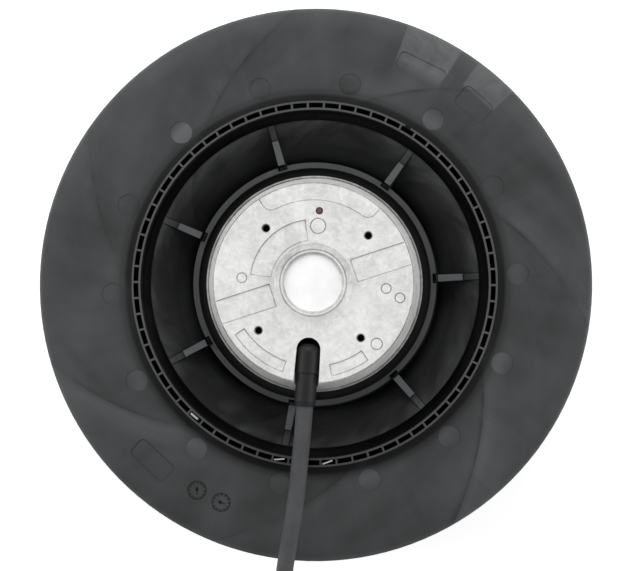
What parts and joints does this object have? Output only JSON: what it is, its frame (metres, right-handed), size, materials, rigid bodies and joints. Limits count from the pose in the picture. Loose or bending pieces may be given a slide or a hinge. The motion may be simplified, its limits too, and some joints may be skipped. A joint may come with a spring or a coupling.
{
  "type": "plug fan",
  "caption": "Plug fan: a backward curved centrifugal impeller of black plastic, mounted round an external rotor motor that hangs from a die cast flange with a fixed cable.",
  "frame": {"origin": "on the spin axis, in the plane of the inlet edge that the fan lies on", "axes": "+Z along the spin axis towards the mounting flange; the cable leaves along -Y"},
  "size_m": [0.2307, 0.3274, 0.0952],
  "materials": {
    "cast_aluminium": "die cast, mottled, satin",
    "white_cap": "smooth, satin",
    "copper": "dull, darkened",
    "black_rubber": "matt",
    "lead_sleeving": "matt woven sleeving",
    "bearing_steel": "ground",
    "polished_steel": "polished",
    "cage_polymer": "moulded",
    "spring_steel": "oiled",
    "clip_steel": "bright spring steel",
    "ground_steel": "ground",
    "turned_steel": "turned",
    "rotor_paint": "black, semi-matt",
    "lamination_steel": "stacked sheet",
    "cage_aluminium": "die cast",
    "insulator_polymer": "moulded",
    "enamelled_copper": "enamelled wire",
    "protector_case": "moulded",
    "black_nylon": "glass filled nylon, satin, faint flow marks",
    "cable_sheath": "soft PVC, matt",
    "tie_polymer": "nylon",
    "conductor_insulation": "blue, black, brown and green with yellow",
    "tinned_copper": "tinned"
  },
  "bodies": {
    "stator": {"stator_flange": "cast_aluminium", "closing_cap": "white_cap", "earth_pin": "copper", "cable_sleeve": "black_rubber", "inner_leads": "lead_sleeving", "upper_bearing_outer": "bearing_steel", "lower_bearing_outer": "bearing_steel", "preload_washer": "spring_steel", "stator_stack": "lamination_steel", "upper_insulator": "insulator_polymer", "lower_insulator": "insulator_polymer", "windings": "enamelled_copper", "thermal_protector": "protector_case", "cable": "cable_sheath", "cable_coil": "cable_sheath", "cable_tail": "cable_sheath", "coil_tie": "tie_polymer", "conductor_ends": "conductor_insulation", "ferrules": "tinned_copper"},
    "rotor": {"rotor_pot": "rotor_paint", "rotor_core": "lamination_steel", "rotor_cage": "cage_aluminium", "rotor_bush": "turned_steel", "shaft": "ground_steel", "retaining_ring": "spring_steel", "upper_bearing_inner": "bearing_steel", "lower_bearing_inner": "bearing_steel", "hub_insert": "rotor_paint", "impeller_backplate": "black_nylon", "shroud": "black_nylon", "blade_1": "black_nylon", "blade_2": "black_nylon", "blade_3": "black_nylon", "blade_4": "black_nylon", "blade_5": "black_nylon", "blade_6": "black_nylon", "blade_7": "black_nylon", "balance_clips": "clip_steel"},
    "upper_ball_set": {"upper_bearing_balls": "polished_steel", "upper_bearing_cage": "cage_polymer"},
    "lower_ball_set": {"lower_bearing_balls": "polished_steel", "lower_bearing_cage": "cage_polymer"}
  },
  "joints": [
    {"name": "impeller_spin", "type": "hinge", "parent": "stator", "child": "rotor", "pos_m": [0, 0, 0.05], "axis": [0, 0, 1], "continuous": true},
    {"name": "upper_balls_orbit", "type": "hinge", "parent": "stator", "child": "upper_ball_set", "pos_m": [0, 0, 0.087], "axis": [0, 0, 1], "continuous": true},
    {"name": "lower_balls_orbit", "type": "hinge", "parent": "stator", "child": "lower_ball_set", "pos_m": [0, 0, 0.037], "axis": [0, 0, 1], "continuous": true}
  ],
  "couplings": [
    {"joint": "upper_balls_orbit", "follows": "impeller_spin", "ratio": 0.3667},
    {"joint": "lower_balls_orbit", "follows": "impeller_spin", "ratio": 0.3667}
  ]
}
